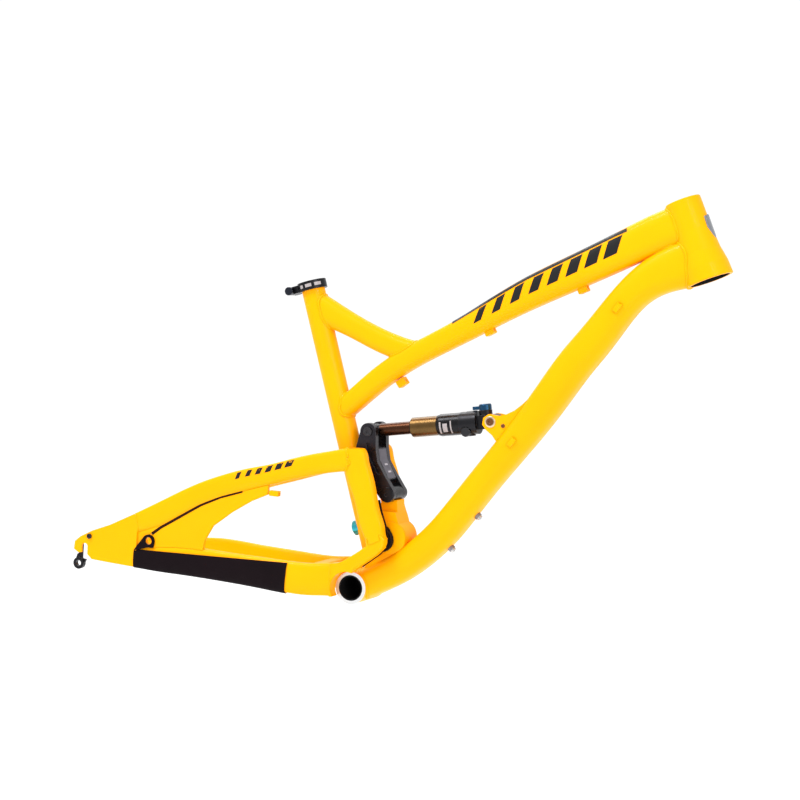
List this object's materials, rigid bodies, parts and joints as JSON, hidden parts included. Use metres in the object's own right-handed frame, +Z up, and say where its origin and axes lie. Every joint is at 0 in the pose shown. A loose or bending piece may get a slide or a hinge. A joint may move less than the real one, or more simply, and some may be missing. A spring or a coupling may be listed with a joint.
{
  "type": "full-suspension bicycle frame",
  "caption": "Full-suspension mountain bike frame: front triangle, one-piece swingarm, rocker link, eccentric lower pivot and air shock; no wheels, fork or cranks.",
  "frame": {"origin": "centre of the bottom bracket shell, in the middle plane of the frame", "axes": "+X forward, towards the head tube; +Y to the rider's left, along the bottom bracket axis; +Z up"},
  "size_m": [0.982, 0.1509, 0.623],
  "materials": {
    "frame_paint": "gloss",
    "black_alloy": "satin",
    "grey_alloy": "satin",
    "bare_steel": "brushed",
    "blue_alloy": "gloss",
    "gold_alloy": "satin",
    "black_rubber": "matte",
    "black_plastic": "matte"
  },
  "bodies": {
    "front_triangle": {"head_tube": "frame_paint", "top_tube": "frame_paint", "down_tube": "frame_paint", "seat_tube": "frame_paint", "seat_tube_strut": "frame_paint", "bottom_bracket_shell": "frame_paint", "pivot_forging": "frame_paint", "rocker_barrel": "black_alloy", "shock_mount": "frame_paint", "shock_front_bolt": "bare_steel", "top_tube_guides": "frame_paint", "down_tube_guides": "frame_paint", "bottle_bosses": "grey_alloy", "bottle_bolts": "bare_steel", "head_badge": "grey_alloy", "cable_port_plug": "blue_alloy", "rocker_axle": "bare_steel", "eccentric_bearings": "bare_steel", "eccentric_covers": "frame_paint", "seat_clamp_collar": "black_alloy", "seat_clamp_skewer": "bare_steel"},
    "clamp_lever": {"seat_clamp_lever": "black_alloy"},
    "rocker": {"rocker_link": "black_alloy", "rocker_bearings": "bare_steel", "rocker_caps": "black_alloy", "shock_rear_bolt": "bare_steel", "shock_rear_spacers": "bare_steel"},
    "swingarm": {"seatstay_bridge": "frame_paint", "chainstay_bridge": "frame_paint", "derailleur_hanger": "black_alloy", "hanger_bolt": "bare_steel", "chainstay_protector": "black_rubber", "seatstay_guide": "frame_paint", "stay_pivot_pins": "black_alloy", "pivot_yokes": "frame_paint", "uprights": "frame_paint", "stay_gusset": "frame_paint", "seatstay_left": "frame_paint", "seatstay_right": "frame_paint", "chainstay_left": "frame_paint", "chainstay_right": "frame_paint", "main_pivot_bearings": "bare_steel", "brake_mount": "frame_paint", "dropout_left": "frame_paint", "dropout_right": "frame_paint"},
    "eccentric": {"eccentric_core": "grey_alloy", "main_pivot_axle": "bare_steel", "pivot_shields": "black_rubber"},
    "shock_can": {"shock_air_can": "gold_alloy", "shock_sleeve": "black_alloy", "shock_seal_head": "grey_alloy", "shock_head": "black_alloy", "shock_front_bushing": "bare_steel", "air_valve_cap": "black_plastic", "travel_ring": "black_rubber"},
    "shock_shaft_body": {"shock_rear_eye": "black_alloy", "shock_shaft": "gold_alloy", "shock_piston": "grey_alloy"},
    "compression_lever_body": {"compression_lever": "blue_alloy"},
    "rebound_knob_body": {"rebound_knob": "grey_alloy"}
  },
  "joints": [
    {"name": "rocker_pivot", "type": "hinge", "parent": "front_triangle", "child": "rocker", "pos_m": [0.044, 0, 0.141], "axis": [0, 1, 0], "range_deg": [0, 30], "stiffness_Nm_per_rad": 300, "springref_deg": -2.86},
    {"name": "swingarm_pivot", "type": "hinge", "parent": "rocker", "child": "swingarm", "pos_m": [-0.002, 0, 0.193], "axis": [0, 1, 0], "range_deg": [-16, 0]},
    {"name": "eccentric_pivot", "type": "hinge", "parent": "front_triangle", "child": "eccentric", "pos_m": [0.052, 0, 0.078], "axis": [0, 1, 0], "range_deg": [0, 51.5]},
    {"name": "shock_pivot", "type": "hinge", "parent": "front_triangle", "child": "shock_can", "pos_m": [0.1959, 0, 0.2611], "axis": [0, 1, 0], "range_deg": [0, 0.2]},
    {"name": "shock_slide", "type": "slide", "parent": "shock_can", "child": "shock_shaft_body", "axis": [0.987, 0, 0.1607], "range_m": [0, 0.0501]},
    {"name": "clamp_lever_pivot", "type": "hinge", "parent": "front_triangle", "child": "clamp_lever", "pos_m": [-0.13781, 0.0144, 0.426], "axis": [-0.3107, 0, 0.9505], "range_deg": [0, 150]},
    {"name": "compression_dial", "type": "hinge", "parent": "shock_can", "child": "compression_lever_body", "pos_m": [0.18037, 0, 0.27884], "axis": [-0.1607, 0, 0.987], "range_deg": [-45, 45]},
    {"name": "rebound_dial", "type": "hinge", "parent": "shock_can", "child": "rebound_knob_body", "pos_m": [0.15788, -0.012, 0.24275], "axis": [0, 1, 0], "range_deg": [-150, 150]}
  ],
  "couplings": [
    {"joint": "swingarm_pivot", "follows": "rocker_pivot", "ratio": -0.52122},
    {"joint": "eccentric_pivot", "follows": "rocker_pivot", "ratio": 1.7086},
    {"joint": "shock_pivot", "follows": "rocker_pivot", "ratio": 0.0034637},
    {"joint": "shock_slide", "follows": "rocker_pivot", "m_per_rad": 0.095426}
  ]
}
